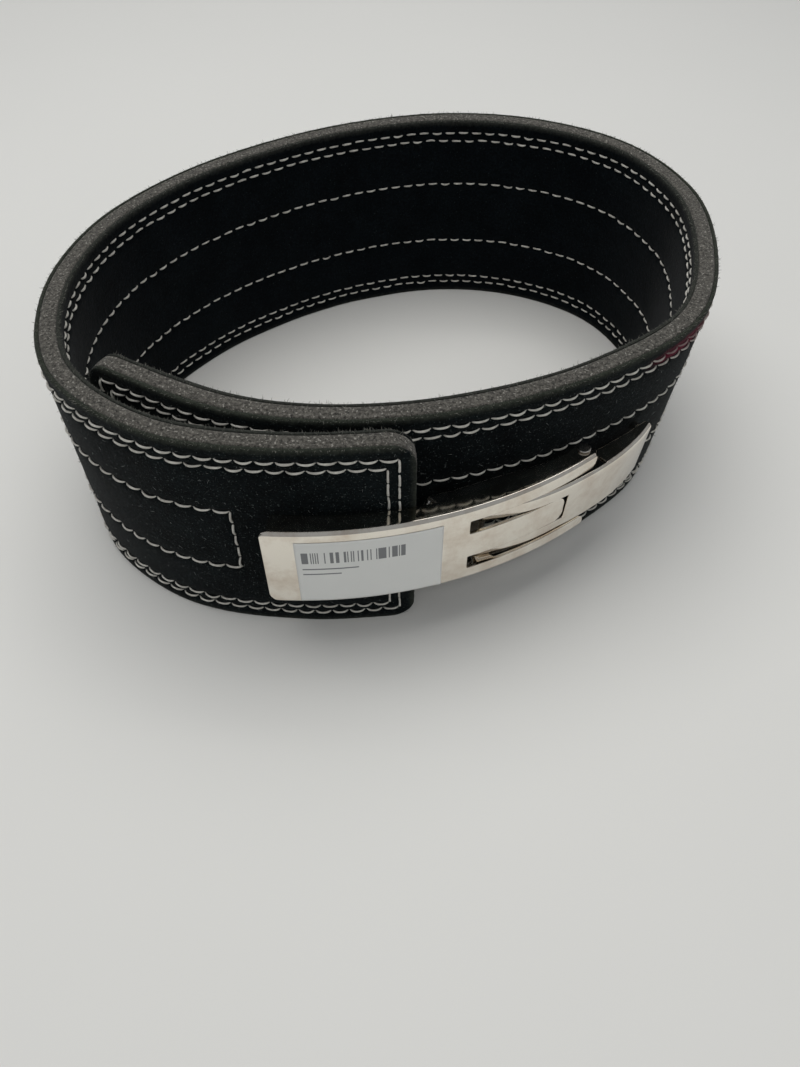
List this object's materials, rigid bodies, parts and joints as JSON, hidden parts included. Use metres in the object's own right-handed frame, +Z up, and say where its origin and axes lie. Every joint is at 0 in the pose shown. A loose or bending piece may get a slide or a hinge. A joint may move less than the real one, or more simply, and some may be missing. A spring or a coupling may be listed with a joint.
{
  "type": "lever buckle weight belt",
  "caption": "Thick suede-faced leather strap closed in a ring, with sewn edge rows and a chromed over-centre lever buckle whose claw hooks into punched holes.",
  "frame": {"origin": "on the surface that the belt stands on, under the middle of its bounding box", "axes": "+Z up across the strap's width, -Y out through the buckle, +X along the ring's longer side from the lever's free end towards the claw"},
  "size_m": [0.2826, 0.2592, 0.1],
  "materials": {
    "core_leather": "raw cut edge, matte and fibrous",
    "suede": "near-black napped suede",
    "thread": "off-white twisted sewing thread",
    "steel": "bright plated steel",
    "chrome": "polished chrome with light smudges",
    "label_paper": "pale grey self-adhesive paper"
  },
  "bodies": {
    "strap": {"strap_core": "core_leather", "outer_suede": "suede", "inner_suede": "suede", "outer_edge_thread_1": "thread", "outer_edge_thread_2": "thread", "outer_middle_thread": "thread", "inner_edge_thread_1": "thread", "inner_edge_thread_2": "thread", "inner_middle_thread": "thread", "base_plate": "steel", "base_screw_1": "steel", "base_screw_2": "steel", "base_screw_3": "steel", "base_screw_4": "steel", "binding_post_1": "steel", "binding_post_2": "steel", "binding_post_3": "steel", "binding_post_4": "steel", "main_pivot_pin": "steel"},
    "lever": {"lever": "chrome", "price_label": "label_paper", "claw_pivot_pin": "steel"},
    "claw": {"claw": "chrome"}
  },
  "joints": [
    {"name": "lever_hinge", "type": "hinge", "parent": "strap", "child": "lever", "pos_m": [0.07345, -0.08659, 0.05], "axis": [0, 0, 1], "range_deg": [0, 112]},
    {"name": "claw_hinge", "type": "hinge", "parent": "lever", "child": "claw", "pos_m": [0.03395, -0.10935, 0.05], "axis": [0, 0, 1], "range_deg": [-112, 0]}
  ],
  "couplings": [
    {"joint": "claw_hinge", "follows": "lever_hinge", "ratio": -1}
  ]
}
